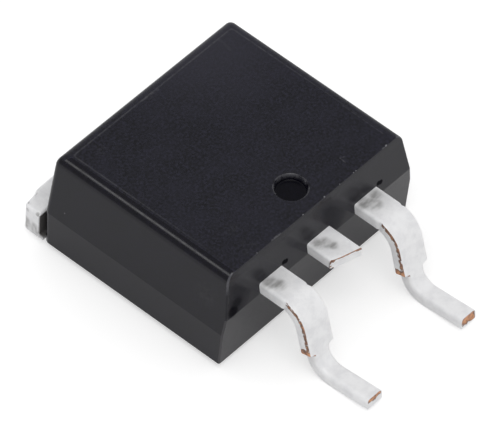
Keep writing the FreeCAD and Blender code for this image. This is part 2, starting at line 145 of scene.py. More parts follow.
class Shell:
    """Points and faces of a piece, with two marks at each point: wear, bare copper and painted
    highlight in one; painted shade, painted sheen and grime in the other.

    Creases are rings whose edges stay sharp. Holes are pairs of rings in one level plane, with
    the face between them still to be filled.
    """

    def __init__(self):
        self.points = []
        self.faces = []
        self.wear_and_highlight = []
        self.shade_sheen_and_grime = []
        self.creases = []
        self.holes = []

    def ring(self, points, wear_and_highlight=0.0, shade_sheen_and_grime=0.0):
        """Adds points and gives their numbers."""
        first = len(self.points)
        self.points += [tuple(p) for p in points]
        count = len(points)
        self.wear_and_highlight += list(wear_and_highlight) if hasattr(wear_and_highlight, "__len__") else [wear_and_highlight] * count
        self.shade_sheen_and_grime += list(shade_sheen_and_grime) if hasattr(shade_sheen_and_grime, "__len__") else [shade_sheen_and_grime] * count
        return list(range(first, first + count))

    def bridge(self, lower, upper):
        """Quads between two closed rings with the same number of points."""
        count = len(lower)
        for i in range(count):
            j = (i + 1) % count
            self.faces.append((lower[i], lower[j], upper[j], upper[i]))

    def fan(self, ring, centre, wear_and_highlight=0.0, shade_sheen_and_grime=0.0):
        middle = self.ring([centre], wear_and_highlight, shade_sheen_and_grime)[0]
        count = len(ring)
        for i in range(count):
            self.faces.append((ring[i], ring[(i + 1) % count], middle))

    def make(self, name, sharp_angle):
        mesh = bpy.data.meshes.new(name)
        mesh.from_pydata([(x * MM, y * MM, z * MM) for x, y, z in self.points], [], self.faces)
        for label, values in (("wear_and_highlight", self.wear_and_highlight), ("shade_sheen_and_grime", self.shade_sheen_and_grime)):
            attribute = mesh.attributes.new(label, "FLOAT", "POINT")
            attribute.data.foreach_set("value", values)
        shape = bmesh.new()
        shape.from_mesh(mesh)
        shape.verts.ensure_lookup_table()
        for outer, inner in self.holes:
            edges = []
            for ring in (outer, inner):
                for first, second in zip(ring, ring[1:] + ring[:1]):
                    ends = (shape.verts[first], shape.verts[second])
                    edges.append(shape.edges.get(ends) or shape.edges.new(ends))
            bmesh.ops.triangle_fill(shape, edges=edges, normal=(0, 0, 1),
                                    use_beauty=True, use_dissolve=False)
        wide = [face for face in shape.faces if len(face.verts) > 4]
        bmesh.ops.triangulate(shape, faces=wide)
        bmesh.ops.recalc_face_normals(shape, faces=shape.faces)
        shape.to_mesh(mesh)
        shape.free()
        mesh.shade_smooth()
        mesh.set_sharp_from_angle(angle=math.radians(sharp_angle))
        creased = {frozenset(pair)
                   for ring in self.creases for pair in zip(ring, ring[1:] + ring[:1])}
        for edge in mesh.edges:
            if frozenset(edge.vertices) in creased:
                edge.use_edge_sharp = True
        piece = bpy.data.objects.new(name, mesh)
        bpy.context.scene.collection.objects.link(piece)
        weighting = piece.modifiers.new("even_shading", "WEIGHTED_NORMAL")
        weighting.mode = "FACE_AREA"
        weighting.weight = 100
        weighting.keep_sharp = True
        return piece


def replace_node(piece, node):
    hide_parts(node)
    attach(piece, "root")


# Moulding

CORNER_STEPS = 10
ROUNDING_STEPS = 14
BASE_STEPS = 5
DIMPLE_STEPS = 72
SEEN_AS_FRONT = 0.06        # how far behind the front face a point still counts as on it
CORNER_X = 4.0              # where the front corners begin, from the middle
# Wear with painted highlight on the moulding's upper edges
CORNER_WEAR_AND_HIGHLIGHT = 1.2
TOP_EDGE_WEAR_AND_HIGHLIGHT = 0.35
WEAR_AND_HIGHLIGHT_START = 0.9            # depth below the top where the wear and painted highlight of the front corners begin
WEAR_AND_HIGHLIGHT_FULL = 0.5             # and where they are full
# Painted reflection: the lower front is made lighter.
LOWER_FRONT_SHEEN = 0.85
SHEEN_END = 0.015            # height over the front parting line where the painted reflection ends
SIDE_SLOPE = SIDE_TOP_SETBACK / (TOP_Z - SIDE_PARTING_Z)
REAR_SLOPE = REAR_TOP_SETBACK / (TOP_Z - SIDE_PARTING_Z)
FRONT_SLOPE = FRONT_TOP_SETBACK / (TOP_Z - FRONT_PARTING_Z)


def plan_outline(half_width, front, rear, front_radius, rear_radius):
    """Rounded rectangle seen from above, anticlockwise."""
    points = []

    def corner(centre_x, centre_y, radius, first_angle):
        for step in range(CORNER_STEPS + 1):
            angle = math.radians(first_angle + 90 * step / CORNER_STEPS)
            points.append((centre_x + radius * math.cos(angle),
                           centre_y + radius * math.sin(angle)))

    corner(half_width - front_radius, front + front_radius, front_radius, -90)
    corner(half_width - rear_radius, rear - rear_radius, rear_radius, 0)
    points.append((PAD_HALF_WIDTH, rear))
    points.append((-PAD_HALF_WIDTH, rear))
    corner(rear_radius - half_width, rear - rear_radius, rear_radius, 90)
    corner(front_radius - half_width, front + front_radius, front_radius, 180)
    return points


def wall_reach(z, top_reach, slope, radius):
    """How far out a leaning wall with a rounded upper edge reaches at a height."""
    lean = math.atan(slope)
    below = TOP_Z - z
    if below >= radius * (1 - math.sin(lean)):
        return top_reach + slope * below
    centre = top_reach + slope * radius - radius / math.cos(lean)
    return centre + math.sqrt(max(radius ** 2 - (radius - below) ** 2, 0.0))


def front_face_y(z):
    """Where the front face is at a height, without its rounded upper edge."""
    if z <= FRONT_PARTING_Z:
        low = (FRONT_PARTING_Z - z) / (FRONT_PARTING_Z - BASE_Z)
        return FRONT_Y + FRONT_BASE_SETBACK * low
    return FRONT_Y + FRONT_TOP_SETBACK * (z - FRONT_PARTING_Z) / (TOP_Z - FRONT_PARTING_Z)


def mould_slice(z, rear_radius=REAR_CORNER, top_inset=0.0):
    """Outline of the moulding at a height."""
    if z <= SIDE_PARTING_Z:
        low = (SIDE_PARTING_Z - z) / (SIDE_PARTING_Z - BASE_Z)
        half_width = MOULD_HALF_WIDTH - SIDE_BASE_SETBACK * low
        rear = REAR_Y
    else:
        half_width = wall_reach(z, MOULD_HALF_WIDTH - SIDE_TOP_SETBACK, SIDE_SLOPE, TOP_ROUNDING)
        rear = wall_reach(z, REAR_Y - REAR_TOP_SETBACK, REAR_SLOPE, TOP_ROUNDING)
    if z <= FRONT_PARTING_Z:
        front = front_face_y(z)
    else:
        front = -wall_reach(z, -FRONT_Y - FRONT_TOP_SETBACK, FRONT_SLOPE, FRONT_EDGE_ROUNDING)
    inset = max(0.0, BASE_EDGE_ROUNDING - (z - BASE_Z))
    inset = BASE_EDGE_ROUNDING - math.sqrt(BASE_EDGE_ROUNDING ** 2 - inset ** 2)
    inset += top_inset
    plan = plan_outline(half_width - inset, front + inset, rear - inset, FRONT_CORNER, rear_radius)
    return [(x, y, z) for x, y in plan]


def rubbed_and_highlit(point, level):
    """Wear and painted highlight of the upper edges: strong on the two front corners, faint along
    the sides.
    """
    x, y, z = point
    behind_front = y - front_face_y(z)
    on_corner = 0.003 < behind_front < SEEN_AS_FRONT and abs(x) > CORNER_X
    if on_corner and z > FRONT_PARTING_Z:
        below_edge = z < TOP_Z - FRONT_EDGE_ROUNDING
        return CORNER_WEAR_AND_HIGHLIGHT * below_edge * smooth_step(z, TOP_Z - WEAR_AND_HIGHLIGHT_START, TOP_Z - WEAR_AND_HIGHLIGHT_FULL)
    if x > 0 or y > 5:
        level *= 2.0
    return level * smooth_step(behind_front, 0.1, 0.6)


def pale_lower_front(point):
    """Painted reflection: the lower part of the front made lighter."""
    _, y, z = point
    on_front = z < FRONT_PARTING_Z + 0.001 and y - front_face_y(z) < SEEN_AS_FRONT
    return LOWER_FRONT_SHEEN if on_front else 0.0


def make_mould():
    shell = Shell()
    slices = []
    for step in range(BASE_STEPS + 1):
        z = BASE_Z + BASE_EDGE_ROUNDING * (1 - math.cos(math.radians(90 * step / BASE_STEPS)))
        slices.append(mould_slice(z))
    side_parting = len(slices)
    slices.append(mould_slice(SIDE_PARTING_Z))
    front_parting = len(slices)
    slices.append(mould_slice(FRONT_PARTING_Z))
    slices.append(mould_slice(FRONT_PARTING_Z + SHEEN_END))
    slices.append(mould_slice(TOP_Z - WEAR_AND_HIGHLIGHT_START))
    lean = math.atan(SIDE_SLOPE)
    for step in range(ROUNDING_STEPS + 1):
        angle = lean + (math.pi / 2 - lean) * step / ROUNDING_STEPS
        z = TOP_Z - TOP_ROUNDING * (1 - math.sin(angle))
        inset = TOP_ROUNDING * (math.cos(lean) - math.cos(angle))
        slices.append(mould_slice(z, REAR_CORNER - REAR_CORNER_SHRINK * inset))
    top_edge = len(slices) - 1
    slices.append(mould_slice(TOP_Z, REAR_CORNER - REAR_CORNER_SHRINK * inset, TOP_RIM))
    rings = []
    for number, points in enumerate(slices):
        # Painted highlight with wear: lighter edges along the top, strongest on the front corners.
        level = TOP_EDGE_WEAR_AND_HIGHLIGHT if number == top_edge else 0.0
        wear_and_highlight = [rubbed_and_highlit(point, level) if number <= top_edge else 0.0 for point in points]
        rings.append(shell.ring(points, wear_and_highlight, [pale_lower_front(point) for point in points]))
    for lower, upper in zip(rings, rings[1:]):
        shell.bridge(lower, upper)
    shell.creases += [rings[side_parting], rings[front_parting]]

    turns = [2 * math.pi * step / DIMPLE_STEPS for step in range(DIMPLE_STEPS)]
    dimple = []
    for radius, depth in DIMPLE_RINGS:
        ring = [(radius * math.cos(turn), DIMPLE_Y + radius * math.sin(turn), TOP_Z - depth)
                for turn in turns]
        # Painted highlight with wear: a patchy lighter rim of the dimple.
        on_rim = 0.001 < depth < 0.1
        wear_and_highlight = [smooth_step(uneven(x, y, 0, 3.0, 4), -0.25, 0.2) * on_rim for x, y, _ in ring]
        dimple.append(shell.ring(ring, wear_and_highlight))
    for upper, lower in zip(dimple, dimple[1:]):
        shell.bridge(upper, lower)
    shell.fan(dimple[-1], (0, DIMPLE_Y, TOP_Z - DIMPLE_RINGS[-1][1]))
    shell.holes.append((rings[-1], dimple[0]))

    # The underside leaves the pad of the heat sink bare.
    rear_right = 2 * (CORNER_STEPS + 1)
    inner = shell.ring([(PAD_HALF_WIDTH, PAD_FRONT_Y, BASE_Z),
                        (-PAD_HALF_WIDTH, PAD_FRONT_Y, BASE_Z)])
    base = rings[0]
    shell.faces.append(tuple(base[rear_right + 1:] + base[:rear_right + 1] + inner))

    piece = shell.make("mould_finish", 35)
    replace_node(piece, "mould_body")
    return piece


# Leads

STATION_STEP = 0.07
BROWN = 0.69                # mark of tarnished copper, where 1 is freshly broken
EDGE_RADIUS = 0.09          # upper edges of a lead
DAM_BAR_EDGE_RADIUS = 0.03  # the same where the bar between the leads was sheared off
FOOT_EDGE_RADIUS = 0.14
LOWER_EDGE_RADIUS = 0.04
NICK_DEPTH = 0.05
NICK_HALF_LENGTH = 0.05
TIP_RINGS = [       # size as a share of the tip, depth
    (0.93, 0.004), (0.82, 0.012), (0.4, 0.02),
]
TIP_DEPTH = 0.02


def strip_path(start, heading, runs):
    """Middle line of a bent strip. Runs are (length,) or (radius, turn in degrees)."""
    y, z = start
    stations = [(y, z, heading)]
    for run in runs:
        if len(run) == 1:
            steps = max(1, round(run[0] / STATION_STEP))
            for step in range(1, steps + 1):
                reach = run[0] * step / steps
                stations.append((y + reach * math.cos(heading),
                                 z + reach * math.sin(heading), heading))
        else:
            radius, turn = run[0], math.radians(run[1])
            side = 1 if turn > 0 else -1
            centre_y = y - side * radius * math.sin(heading)
            centre_z = z + side * radius * math.cos(heading)
            steps = max(1, round(radius * abs(turn) / STATION_STEP))
            for step in range(1, steps + 1):
                angle = heading + turn * step / steps
                stations.append((centre_y + side * radius * math.sin(angle),
                                 centre_z - side * radius * math.cos(angle), angle))
        y, z, heading = stations[-1]
    return stations


def strip_section(half_width, upper_radius, lower_radius):
    """Ring of a strip's section: across, and height over the middle line."""
    half = LEAD_THICKNESS / 2
    ring = []

    def corner(side, level, radius, first_angle, steps):
        centre_x = side * (half_width - radius)
        centre_h = level * (half - radius)
        for step in range(steps + 1):
            angle = math.radians(first_angle - 90 * step / steps)
            ring.append((centre_x + radius * math.cos(angle), centre_h + radius * math.sin(angle)))

    for share in (-0.85, -0.45, 0.0, 0.45, 0.85):
        ring.append((share * (half_width - upper_radius), half))
    corner(1, 1, upper_radius, 90, 4)
    for height in (half - upper_radius - 0.085, 0.02, -half + lower_radius + 0.06):
        ring.append((half_width, height))
    corner(1, -1, lower_radius, 0, 2)
    for share in (0.6, 0.0, -0.6):
        ring.append((share * half_width, -half))
    corner(-1, -1, lower_radius, -90, 2)
    for height in (-half + lower_radius + 0.06, 0.02, half - upper_radius - 0.085):
        ring.append((-half_width, height))
    corner(-1, 1, upper_radius, 180, 4)
    return ring


def lead_runs():
    heel_outer = HEEL_RADIUS + LEAD_THICKNESS / 2
    shoulder_outer = SHOULDER_RADIUS + LEAD_THICKNESS / 2
    heel_inner = HEEL_RADIUS - LEAD_THICKNESS / 2
    lean = math.radians(LEG_LEAN)
    pitch = math.radians(FOOT_PITCH)
    drop = LEAD_TOP_Z - shoulder_outer - heel_outer
    slide = (shoulder_outer + heel_inner + drop * math.sin(lean)) / math.cos(lean)
    leg = slide * math.sin(lean) + drop * math.cos(lean)
    shoulder_y = FRONT_Y - LEAD_LEVEL_RUN
    foot_start_y = shoulder_y - slide - HEEL_RADIUS * math.sin(pitch)
    foot_end_y = TIP_Y + LEAD_THICKNESS / 2 * math.sin(pitch)
    foot = (foot_start_y - foot_end_y) / math.cos(pitch)
    return [
        (POST_END_Y - shoulder_y,),
        (SHOULDER_RADIUS, 90 - LEG_LEAN),
        (leg,),
        (HEEL_RADIUS, -(90 - LEG_LEAN + FOOT_PITCH)),
        (foot,),
    ]


def lead_half_width(y, z):
    post = smooth_step(y, FRONT_Y + POST_TAPER[0], FRONT_Y + POST_TAPER[1])
    wide = LEAD_WIDE / 2 + (POST_WIDTH - LEAD_WIDE) / 2 * post
    from_nick = (y - FRONT_Y + NICK_REACH) / NICK_HALF_LENGTH
    nick = NICK_DEPTH * math.exp(-from_nick ** 2) if z > 2 else 0.0
    narrow = smooth_step(STEP_Z + 0.04 - z, 0.0, 0.09)
    return wide - nick + (LEAD_NARROW - LEAD_WIDE) / 2 * narrow


def tip_copper(across, height, share, side):
    """Copper on a sheared tip: nearly all of the right one, the upper part of the left one."""
    if share > 0.9:
        return 0.25
    if side > 0:
        return 1.0 if height > -0.1 or across > 0 else 0.3
    return 1.0 if height > 0.02 else 0.2


def finer_at_step(stations):
    """The stations, with one more between each two near the step in the lead's width."""
    finer = [stations[0]]
    for before, after in zip(stations, stations[1:]):
        if max(abs(before[1] - STEP_Z), abs(after[1] - STEP_Z)) < 0.2:
            finer.append(tuple((first + second) / 2 for first, second in zip(before, after)))
        finer.append(after)
    return finer


def add_sheared_tip(shell, ring, centre_x, station, side):
    """Slightly hollow end face, with the copper that the cut laid bare."""
    y, z, _ = station
    tip = [shell.points[i] for i in ring]
    middle = Vector((centre_x, y, z))
    last = shell.ring(tip, 0.1)
    for share, bulge in TIP_RINGS:
        inner = []
        for point in tip:
            spot = middle.lerp(Vector(point), share)
            inner.append((spot.x, spot.y + bulge, spot.z))
        copper = [tip_copper(spot[0] - centre_x, spot[2] - z, share, side) for spot in inner]
        ring = shell.ring(inner, copper)
        shell.bridge(last, ring)
        last = ring
    shell.fan(last, (centre_x, y + TIP_DEPTH, z), 0.95 if side > 0 else 0.55)


def side_copper(z, height, upper_radius, in_dam_bar):
    """Copper on a lead's side: brown along the sheared upper edge, bright at the step."""
    mark = 0.0
    if height > LEAD_THICKNESS / 2 - upper_radius - 0.09:
        mark = BROWN * in_dam_bar
    if STEP_Z - 0.12 < z < STEP_Z + 0.42:
        mark = max(mark, 1.0 - smooth_step(z, STEP_Z + 0.12, STEP_Z + 0.38))
    return mark


def make_lead(name, node, side, seed):
    shell = Shell()
    centre_x = side * LEAD_PITCH
    stations = finer_at_step(strip_path((POST_END_Y, LEAD_MIDDLE_Z), math.pi, lead_runs()))
    nick_y = FRONT_Y - NICK_REACH
    previous = None
    for y, z, heading in stations:
        half_width = lead_half_width(y, z)
        in_dam_bar = smooth_step(nick_y - y, -0.02, 0.06)
        in_dam_bar *= smooth_step(z, STEP_Z - 0.05, STEP_Z + 0.02)
        on_foot = smooth_step(STEP_Z - z, 0.0, 0.25)
        upper_radius = (EDGE_RADIUS + (DAM_BAR_EDGE_RADIUS - EDGE_RADIUS) * in_dam_bar
                        + (FOOT_EDGE_RADIUS - EDGE_RADIUS) * on_foot)
        section = strip_section(half_width, upper_radius, LOWER_EDGE_RADIUS)
        up_y, up_z = math.sin(heading), -math.cos(heading)
        points = []
        copper = []
        shade_sheen_and_grime = []
        near_body = smooth_step(y, FRONT_Y - 1.2, FRONT_Y - 0.3)
        for across, height in section:
            x = centre_x + across
            point_y = y + height * up_y
            point_z = z + height * up_z
            ragged = 0.018 * in_dam_bar + 0.005
            shift = ragged * uneven(x, point_y, point_z, 3.0, seed)
            shift *= (abs(across) / half_width) ** 3
            points.append((x - math.copysign(abs(shift), across), point_y,
                           point_z + 0.004 * uneven(x, y, z, 2.0, seed + 5)))
            on_side = abs(across) > half_width - 0.6 * upper_radius
            copper.append(on_side * side_copper(z, height, upper_radius, in_dam_bar))
            # Darker on the lead's upper face, more so near the body.
            in_middle = abs(across) < 0.9 * (half_width - upper_radius) and height > 0.1
            shade_sheen_and_grime.append((0.02 + 0.11 * near_body) * in_middle)
        ring = shell.ring(points, copper, shade_sheen_and_grime)
        if previous is not None:
            shell.bridge(previous, ring)
        else:
            shell.fan(ring, (centre_x, y, z))
        previous = ring
    add_sheared_tip(shell, previous, centre_x, stations[-1], side)
    piece = shell.make(name, 35)
    replace_node(piece, node)
    return piece


# Heat sink with the tab and the centre lead

TAB_CORNERS = [     # lower outline x, y; upper outline x, y; steps to the next corner
    (PAD_HALF_WIDTH, PAD_FRONT_Y, SLAB_HALF_WIDTH, SLAB_FRONT_Y, 6),
    (PAD_HALF_WIDTH, REAR_Y, SLAB_HALF_WIDTH, EAR_FRONT_Y, 10),
    (TAB_HALF_WIDTH, REAR_Y, TAB_HALF_WIDTH, EAR_FRONT_Y, 8),
    (TAB_HALF_WIDTH, TAB_REAR_Y - 0.28, TAB_HALF_WIDTH, TAB_REAR_Y - 0.28, 3),
    (TAB_HALF_WIDTH - 0.12, TAB_REAR_Y - 0.18, TAB_HALF_WIDTH - 0.12, TAB_REAR_Y - 0.18, 5),
    (TAB_HALF_WIDTH - 0.60, TAB_REAR_Y - 0.14, TAB_HALF_WIDTH - 0.60, TAB_REAR_Y - 0.14, 5),
    (TAB_HALF_WIDTH - 0.86, TAB_REAR_Y, TAB_HALF_WIDTH - 0.86, TAB_REAR_Y, 30),
]

DENTS = [           # centre, radius, depth, direction: all on the left ear
    ((-5.08, 6.98, 1.27), 0.10, 0.07, (1, 0, 0)),
    ((-5.04, 6.47, 1.50), 0.09, 0.06, (0.7, 0, -0.7)),
    ((-5.07, 6.75, 0.55), 0.16, 0.04, (1, 0, 0)),
]
ROUGHNESS = 0.012           # unevenness of the ears' edges
PLATE_SIDE_STEPS = 9
RAMP_ANGLE = 65             # slope of the centre lead down to the heat sink
RAMP_BEND_RADIUS = 0.3
RAMP_OVERLAP = 0.4          # how far the centre lead's strip reaches into the slab
RAMP_START_RUN = 0.55       # level stretch before the ramp
STUB_EDGE_RADIUS = 0.08
DISH_DEPTH = 0.055          # hollow in the stub's top
DISH_HALF_WIDTH = 0.52
CORNER_LOSS = 0.09          # how much the stub's broken left corner has lost
STUB_END_RINGS = (0.74, 0.62)


def tab_outline(level):
    """Closed outline of the heat sink, lower (0) or upper (1), rounded where it can be seen."""
    right = [(corner[2 * level], corner[2 * level + 1]) for corner in TAB_CORNERS]
    right_steps = [corner[4] for corner in TAB_CORNERS]
    corners = right + [(-x, y) for x, y in reversed(right)]
    steps = right_steps + right_steps[-2::-1] + [10]
    points = []
    for index, (x, y) in enumerate(corners):
        next_x, next_y = corners[(index + 1) % len(corners)]
        for step in range(steps[index]):
            share = step / steps[index]
            points.append((x + (next_x - x) * share, y + (next_y - y) * share))
    for _ in range(2):
        rounded = []
        for index, (x, y) in enumerate(points):
            before = points[index - 1]
            after = points[(index + 1) % len(points)]
            if y > EAR_FRONT_Y + 0.2:
                x = (before[0] + 2 * x + after[0]) / 4
                y = (before[1] + 2 * y + after[1]) / 4
            rounded.append((x, y))
        points = rounded
    return points


def inset_outline(points, inset):
    moved = []
    count = len(points)
    for index, (x, y) in enumerate(points):
        before = points[index - 1]
        after = points[(index + 1) % count]
        along = Vector((after[0] - before[0], after[1] - before[1])).normalized()
        moved.append((x - along.y * inset, y + along.x * inset))
    return moved


def dent(point, centre, radius, depth, direction):
    """Moves a point near the centre by up to the depth."""
    distance = (Vector(point) - Vector(centre)).length
    push = depth * math.exp(-(distance / radius) ** 2)
    return tuple(Vector(point) + Vector(direction) * push)


def knocked(point):
    """Uneven edges of both ears, and the dents of the left one."""
    x, y, z = point
    if y > EAR_FRONT_Y + 0.02 and z > NOTCH_FLOOR_Z + 0.01:
        rough = ROUGHNESS * uneven(x, y, z, 2.5, 3)
        point = (x - math.copysign(abs(rough), x), y - abs(rough), z)
    for centre, radius, depth, direction in DENTS:
        point = dent(point, centre, radius, depth, direction)
    return point


def sheared_edge(x, y, z):
    """Dark line on the upper edge of the left ear's clipped corner."""
    on_clip = y > TAB_REAR_Y - 0.3 and 1 - TAB_HALF_WIDTH > x > 0.08 - TAB_HALF_WIDTH
    return 0.75 * on_clip * smooth_step(uneven(x, y, z, 5.0, 2), -0.3, 0.1)


def add_plate(shell):
    lower = tab_outline(0)
    upper = tab_outline(1)
    rings = []
    lower_levels = [
        (0.04, BASE_Z), (0.012, BASE_Z + 0.012), (0.0, BASE_Z + 0.04), (0.0, NOTCH_FLOOR_Z),
    ]
    for inset, z in lower_levels:
        rings.append([(x, y, z) for x, y in inset_outline(lower, inset)])
    side_height = SLAB_TOP_Z - TAB_EDGE_ROUNDING - NOTCH_FLOOR_Z
    for step in range(PLATE_SIDE_STEPS + 1):
        z = NOTCH_FLOOR_Z + side_height * step / PLATE_SIDE_STEPS
        rings.append([(x, y, z) for x, y in upper])
    for step in range(1, 6):
        angle = math.radians(18 * step)
        inset = TAB_EDGE_ROUNDING * (1 - math.cos(angle))
        z = SLAB_TOP_Z - TAB_EDGE_ROUNDING * (1 - math.sin(angle))
        rings.append([(x, y, z) for x, y in inset_outline(upper, inset)])
    rings.append([(x, y, SLAB_TOP_Z) for x, y in inset_outline(upper, TAB_EDGE_ROUNDING + 0.02)])
    numbers = []
    for index, ring in enumerate(rings):
        points = [knocked(point) for point in ring]
        # Painted shadow in the notch between the ear and the moulding.
        in_notch = NOTCH_FLOOR_Z <= ring[0][2] < SLAB_TOP_Z - 0.05
        shade_sheen_and_grime = [in_notch * smooth_step(EAR_FRONT_Y + 0.06 - y, 0.0, 0.05) for _, y, _ in ring]
        if index == len(rings) - 3:
            shade_sheen_and_grime = [max(level, sheared_edge(*point)) for level, point in zip(shade_sheen_and_grime, ring)]
        numbers.append(shell.ring(points, 0.0, shade_sheen_and_grime))
    for low_ring, high_ring in zip(numbers, numbers[1:]):
        shell.bridge(low_ring, high_ring)
    shell.faces.append(tuple(numbers[0]))
    shell.faces.append(tuple(numbers[-1]))


def add_stub(shell):
    """Cropped centre lead, level with the leads, on a ramp from the heat sink inside."""
    ramp = math.radians(RAMP_ANGLE)
    start_z = SLAB_TOP_Z - LEAD_THICKNESS / 2
    rise = LEAD_MIDDLE_Z - start_z
    bends = 2 * RAMP_BEND_RADIUS
    straight = (rise - bends * (1 - math.cos(ramp))) / math.sin(ramp)
    start_y = SLAB_FRONT_Y + RAMP_OVERLAP
    end_y = FRONT_Y - sum(STUB_REACH) / 2
    ramp_reach = bends * math.sin(ramp) + straight * math.cos(ramp)
    level = start_y - RAMP_START_RUN - ramp_reach - end_y
    stations = strip_path((start_y, start_z), math.pi, [
        (RAMP_START_RUN,), (RAMP_BEND_RADIUS, -RAMP_ANGLE), (straight,),
        (RAMP_BEND_RADIUS, RAMP_ANGLE), (level,),
    ])
    slant = (STUB_REACH[0] - STUB_REACH[1]) / LEAD_WIDE
    half_width = LEAD_WIDE / 2
    previous = None
    for y, z, heading in stations:
        up_y, up_z = math.sin(heading), -math.cos(heading)
        cropped = smooth_step(end_y + 0.9 - y, 0.0, 0.9)
        points = []
        shade_sheen_and_grime = []
        for across, height in strip_section(half_width, STUB_EDGE_RADIUS, LOWER_EDGE_RADIUS):
            point_y = y + height * up_y + across * slant * cropped
            point_z = z + height * up_z
            dish = 0.0
            if height > 0.1 and z > 2:
                dish = (1 - min(1, (across / DISH_HALF_WIDTH) ** 2)) ** 1.5
                dish *= smooth_step(FRONT_Y - 0.02 - y, 0.0, 0.3)
                dish *= smooth_step(y, end_y + 0.05, end_y + 0.5)
                point_z -= DISH_DEPTH * dish
            # Painted shade in the stub's hollow top.
            shade_sheen_and_grime.append(0.1 * dish)
            points.append((across, point_y, point_z + 0.004 * uneven(across, y, z, 2.0, 9)))
        ring = shell.ring(points, 0.0, shade_sheen_and_grime)
        if previous is not None:
            shell.bridge(previous, ring)
        else:
            shell.fan(ring, (0, y, z))
        previous = ring
    broken = []
    for x, y, z in [shell.points[number] for number in previous]:
        away = CORNER_LOSS * math.exp(-((x + half_width) / 0.16) ** 2)
        broken.append((x, y + away, z - 0.4 * away * (z > LEAD_MIDDLE_Z)))
    for number, point in zip(previous, broken):
        shell.points[number] = point
    copper = [BROWN if z > LEAD_MIDDLE_Z + 0.08 or x < -0.5 else 0.1 for x, _, z in broken]
    last = shell.ring(broken, copper)
    middle = Vector((0, end_y, LEAD_MIDDLE_Z))
    for share in STUB_END_RINGS:
        inner = [tuple(middle.lerp(Vector(point), share)) for point in broken]
        marks = [BROWN + 0.1 if z > LEAD_MIDDLE_Z + 0.08 and share > 0.7 else 0.1
                 for _, _, z in inner]
        ring = shell.ring(inner, marks)
        shell.bridge(last, ring)
        last = ring
    shell.fan(last, tuple(middle), 0.1)


def make_heat_sink():
    shell = Shell()
    add_plate(shell)
    add_stub(shell)
    piece = shell.make("tab_finish", 35)
    replace_node(piece, "heat_sink_tab")
    return piece


# Materials

CHIPS = [           # centre, radius
    ((0.48, -2.05, 4.54), 0.05), ((-0.66, -2.05, 4.54), 0.04), ((2.04, -2.05, 4.54), 0.035),
    ((2.17, -2.05, 4.54), 0.035), ((3.80, -2.05, 4.54), 0.06), ((1.30, -2.05, 4.54), 0.03),
    ((-3.10, -2.05, 4.54), 0.03), ((0.40, -1.37, 4.55), 0.035), ((-0.50, -1.25, 4.545), 0.035),
    ((0.10, -1.42, 4.36), 0.06), ((0.56, -1.05, 4.50), 0.045), ((-0.58, -0.70, 4.53), 0.045),
    ((-5.00, 5.27, 2.40), 0.035), ((-4.86, 0.33, 2.74), 0.04), ((-4.93, 0.65, 2.42), 0.035),
]
SCRATCHES = [       # start, end, radius, strength
    ((2.22, -1.25, 4.55), (2.19, -1.52, 4.55), 0.03, 0.7),
    ((2.22, -1.25, 4.55), (2.38, -1.33, 4.55), 0.03, 0.6),
    ((3.44, 5.76, 4.55), (3.48, 5.40, 4.55), 0.09, 0.12),
    ((3.48, 5.40, 4.55), (3.38, 4.98, 4.55), 0.08, 0.10),
    ((4.14, -1.6, 4.55), (4.16, 0.4, 4.55), 0.03, 0.3),
    ((0.2, 5.58, 4.55), (-0.6, 5.63, 4.55), 0.06, 0.3),
    ((-2.30, -2.05, 4.54), (-1.88, -2.05, 4.54), 0.06, 1.0),
    ((3.80, -2.05, 4.54), (3.62, -2.05, 4.54), 0.05, 0.9),
]
PAINTED_DARK_SPOTS = [            # painted shade in the dimple and beside the leads, painted dark reflections near the front-left corner: centre, radius, share with full depth, depth
    ((0, DIMPLE_Y, TOP_Z - 0.25), 0.64, 0.85, 0.55),
    ((-1.84, -2.26, 3.15), 0.13, 0.6, 1.0), ((-1.72, -2.27, 3.12), 0.13, 0.6, 1.0),
    ((3.24, -2.26, 3.15), 0.13, 0.6, 1.0), ((3.36, -2.27, 3.12), 0.13, 0.6, 1.0),
    ((-4.56, -2.32, 2.84), 0.44, 0.3, 0.85), ((-4.34, -2.28, 3.08), 0.42, 0.3, 0.65),
]
SCUFFS_AND_REFLECTIONS = [          # scuffs on the top, painted reflections on the left face: centre, radius
    ((-2.92, -0.72, 4.55), 0.40), ((-0.20, 5.60, 4.55), 0.35), ((-3.35, 5.14, 4.55), 0.35),
    ((-5.05, 2.80, 0.40), 0.40), ((-4.90, -1.30, 3.2), 0.70), ((-3.1, -1.7, 4.55), 0.5),
]
STAINS = [          # on the tin: centre, radius
    ((-2.85, -2.50, 3.09), 0.40), ((-2.70, -2.80, 3.09), 0.36),
    ((2.25, -2.50, 3.09), 0.44), ((2.45, -2.75, 3.09), 0.42), ((2.80, -2.50, 3.09), 0.36),
    ((-0.32, -2.55, 3.05), 0.36), ((-0.10, -2.70, 3.05), 0.36), ((0.02, -2.95, 3.05), 0.28),
    ((-5.08, 6.97, 0.62), 0.40), ((-5.08, 6.63, 0.58), 0.40), ((-5.00, 7.00, 1.28), 0.14),
    ((-5.05, 6.48, 1.42), 0.12),
]
# lighter patch on the top, towards the rear right
PALE_PATCH_CENTRE = (3.2, 6.4, TOP_Z)
PALE_PATCH_RADIUS = 5.0
FAR_EDGE_X = 4.0            # the matte finish runs over the rounded edges beyond this
FAR_EDGE_DEPTH = 0.6        # and within this distance of the rear face

# Colours, linear red, green, blue and alpha. Pairs are the two ends of a mottle.
SATIN_EPOXY = ((0.0010, 0.0008, 0.0040, 1), (0.0040, 0.0032, 0.0100, 1))
MATTE_EPOXY = ((0.0012, 0.0012, 0.0045, 1), (0.0155, 0.0150, 0.0300, 1))
# scuffs, and painted reflections on the left face
SCUFF_AND_REFLECTION_COLOUR = (0.045, 0.045, 0.05, 1)
# painted reflection on the lower front
SHEEN_COLOUR = (0.050, 0.048, 0.053, 1)
